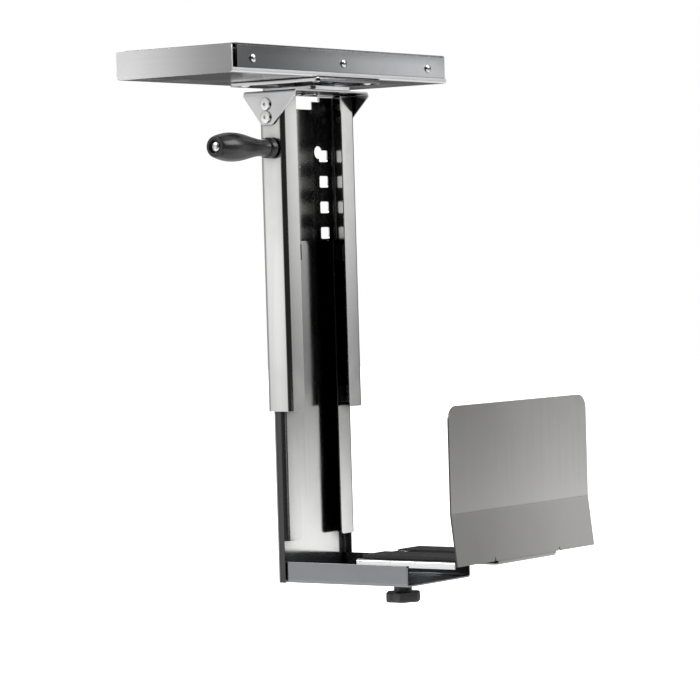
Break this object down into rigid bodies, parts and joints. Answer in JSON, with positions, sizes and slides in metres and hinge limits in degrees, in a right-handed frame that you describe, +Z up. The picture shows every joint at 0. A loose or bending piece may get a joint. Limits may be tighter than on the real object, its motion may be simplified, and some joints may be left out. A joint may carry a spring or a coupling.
{
  "type": "under-desk computer holder",
  "caption": "Metal holder that hangs a computer under a desk: a slide-out, swivelling carriage, a telescopic column set by a hand crank, and an adjustable side plate.",
  "frame": {"origin": "on the swivel's vertical axis, in the plane where the fixed channel meets the underside of the desk", "axes": "+Z up; +X from the column towards the side plate; -Y towards the user, the way the carriage slides out"},
  "size_m": [0.3171, 0.3417, 0.5149],
  "materials": {
    "satin_steel": "satin silver, even sheen",
    "bright_zinc": "bright zinc plate",
    "plain_steel": "plain, slightly dull",
    "gloss_black": "glossy moulded black",
    "black_nylon": "matt black",
    "black_rubber": "matt black ribbed rubber"
  },
  "bodies": {
    "desk_mount": {"desk_channel": "satin_steel", "slide_outer_left": "bright_zinc", "slide_outer_right": "bright_zinc", "side_screw_1": "bright_zinc", "side_screw_2": "bright_zinc", "side_screw_3": "bright_zinc", "side_screw_4": "bright_zinc", "side_screw_5": "bright_zinc", "side_screw_6": "bright_zinc"},
    "slide_cages": {"ball_cage_left": "plain_steel", "ball_cage_right": "plain_steel"},
    "slide_middles": {"slide_middle_left": "bright_zinc", "slide_middle_right": "bright_zinc"},
    "carriage": {"slide_inner_left": "bright_zinc", "slide_inner_right": "bright_zinc", "slide_angle_left": "satin_steel", "slide_angle_right": "satin_steel", "carriage_tray": "satin_steel", "swivel_upper_plate": "satin_steel", "swivel_rivet_1": "bright_zinc", "swivel_rivet_2": "bright_zinc", "swivel_rivet_3": "bright_zinc", "swivel_rivet_4": "bright_zinc"},
    "swivel": {"ball_race": "bright_zinc", "swivel_lower_plate": "satin_steel", "swivel_pivot": "bright_zinc", "column_bracket": "satin_steel", "ear_screw_1": "bright_zinc", "ear_screw_2": "bright_zinc", "ear_screw_3": "bright_zinc", "ear_screw_4": "bright_zinc", "sleeve_channel": "satin_steel", "sleeve_glide_left": "black_nylon", "sleeve_glide_right": "black_nylon", "gear_bracket": "plain_steel", "shaft_bush": "black_nylon"},
    "handle": {"handle_shaft": "bright_zinc", "handle_hub": "gloss_black", "handle_grip": "gloss_black", "bevel_wheel_handle": "plain_steel"},
    "screw": {"lead_screw": "bright_zinc", "bevel_wheel_screw": "plain_steel"},
    "lift": {"inner_channel": "satin_steel", "inner_glide_left": "black_nylon", "inner_glide_right": "black_nylon", "lead_nut": "black_nylon", "nut_screw": "bright_zinc", "base_channel": "satin_steel", "clamp_spacer": "bright_zinc", "clamp_nut": "bright_zinc"},
    "knob": {"clamp_knob": "gloss_black", "clamp_stud": "bright_zinc"},
    "arm": {"side_plate_arm": "satin_steel", "arm_pad_near": "black_rubber", "arm_pad_far": "black_rubber"}
  },
  "joints": [
    {"name": "carriage_slide", "type": "slide", "parent": "desk_mount", "child": "carriage", "axis": [0, -1, 0], "range_m": [0, 0.3]},
    {"name": "middle_slide", "type": "slide", "parent": "desk_mount", "child": "slide_middles", "axis": [0, -1, 0], "range_m": [0, 0.15]},
    {"name": "cage_slide", "type": "slide", "parent": "desk_mount", "child": "slide_cages", "axis": [0, -1, 0], "range_m": [0, 0.075]},
    {"name": "column_swivel", "type": "hinge", "parent": "carriage", "child": "swivel", "pos_m": [0, 0, -0.033], "axis": [0, 0, 1], "continuous": true},
    {"name": "lift_slide", "type": "slide", "parent": "swivel", "child": "lift", "axis": [0, 0, 1], "range_m": [-0.08, 0.066]},
    {"name": "handle_turn", "type": "hinge", "parent": "swivel", "child": "handle", "pos_m": [0, -0.0575, -0.0905], "axis": [0, 1, 0], "range_deg": [-2890, 2390]},
    {"name": "screw_turn", "type": "hinge", "parent": "swivel", "child": "screw", "pos_m": [0, -0.025, -0.0965], "axis": [0, 0, 1], "range_deg": [-2390, 2890]},
    {"name": "arm_slide", "type": "slide", "parent": "lift", "child": "arm", "axis": [1, 0, 0], "range_m": [-0.07, 0.006]},
    {"name": "knob_turn", "type": "hinge", "parent": "lift", "child": "knob", "pos_m": [0.094, 0, -0.4956], "axis": [0, 0, 1], "continuous": true}
  ],
  "couplings": [
    {"joint": "middle_slide", "follows": "carriage_slide", "ratio": 0.5},
    {"joint": "cage_slide", "follows": "carriage_slide", "ratio": 0.25},
    {"joint": "handle_turn", "follows": "lift_slide", "rad_per_m": 628.32},
    {"joint": "screw_turn", "follows": "lift_slide", "rad_per_m": -628.32}
  ]
}
